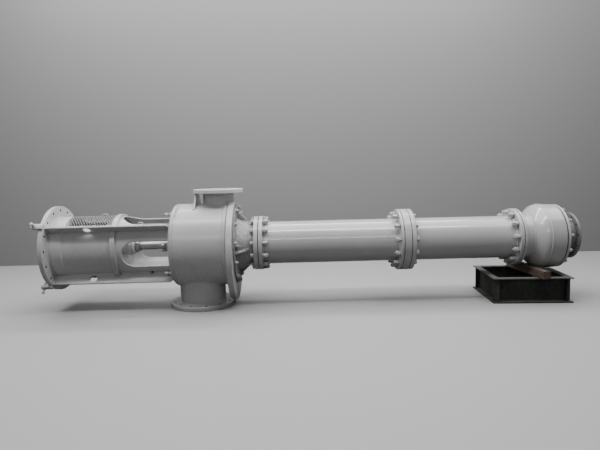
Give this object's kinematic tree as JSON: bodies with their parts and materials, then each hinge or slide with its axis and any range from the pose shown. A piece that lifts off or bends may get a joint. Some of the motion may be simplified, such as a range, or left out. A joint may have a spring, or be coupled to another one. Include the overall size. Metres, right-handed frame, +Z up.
{
  "type": "vertical acid pump",
  "caption": "Long flanged column pump laid on its side: ribbed motor stool, drum with nozzles, base plate, pipe column and round bowl, propped on a timber and a low steel frame.",
  "frame": {"origin": "centre of the part's box in plan, at floor level", "axes": "+X along the pump's axis from the motor flange to the suction flange, +Z up towards the top nozzle"},
  "size_m": [5.653, 1.062, 1.2526],
  "materials": {
    "grey_paint": "glossy light grey paint",
    "silver_casting": "rough casting in silver paint",
    "dark_iron": "dull dark iron",
    "machined_steel": "machined, lightly oiled",
    "galvanised": "dull galvanised expanded metal",
    "grimy_steel": "black, grimy and scuffed",
    "timber": "old sawn wood"
  },
  "bodies": {
    "pump": {"motor_flange": "grey_paint", "stool_tube": "grey_paint", "stiffener_ring": "grey_paint", "rib_1": "grey_paint", "rib_2": "grey_paint", "rib_3": "grey_paint", "rib_4": "grey_paint", "jack_lug_1": "grey_paint", "jack_lug_2": "grey_paint", "jack_lug_3": "grey_paint", "jack_lug_4": "grey_paint", "guard_top": "galvanised", "guard_bottom": "galvanised", "bearing_housing": "grey_paint", "stuffing_box": "machined_steel", "drum_head": "grey_paint", "drum_shell": "grey_paint", "discharge_neck": "grey_paint", "discharge_flange": "grey_paint", "top_neck": "grey_paint", "top_flange": "grey_paint", "top_gusset": "grey_paint", "base_plate": "grey_paint", "column_head": "silver_casting", "head_flange": "grey_paint", "pipe_1_upper_flange": "grey_paint", "column_pipe_1": "grey_paint", "pipe_1_lower_flange": "grey_paint", "bearing_spider": "grey_paint", "pipe_2_upper_flange": "grey_paint", "column_pipe_2": "grey_paint", "pipe_2_lower_flange": "grey_paint", "bowl_flange": "grey_paint", "bowl": "grey_paint", "bowl_cover": "grey_paint", "suction_neck": "dark_iron", "suction_flange": "dark_iron", "stand_front": "grimy_steel", "stand_rear": "grimy_steel", "stand_right": "grimy_steel", "stand_left": "grimy_steel", "timber_block": "timber"},
    "rotor": {"shaft": "machined_steel", "coupling_hub": "dark_iron", "impeller": "dark_iron"}
  },
  "joints": [
    {"name": "rotor_spin", "type": "hinge", "parent": "pump", "child": "rotor", "pos_m": [0, 0, 0.6586], "axis": [1, 0, 0], "continuous": true}
  ]
}
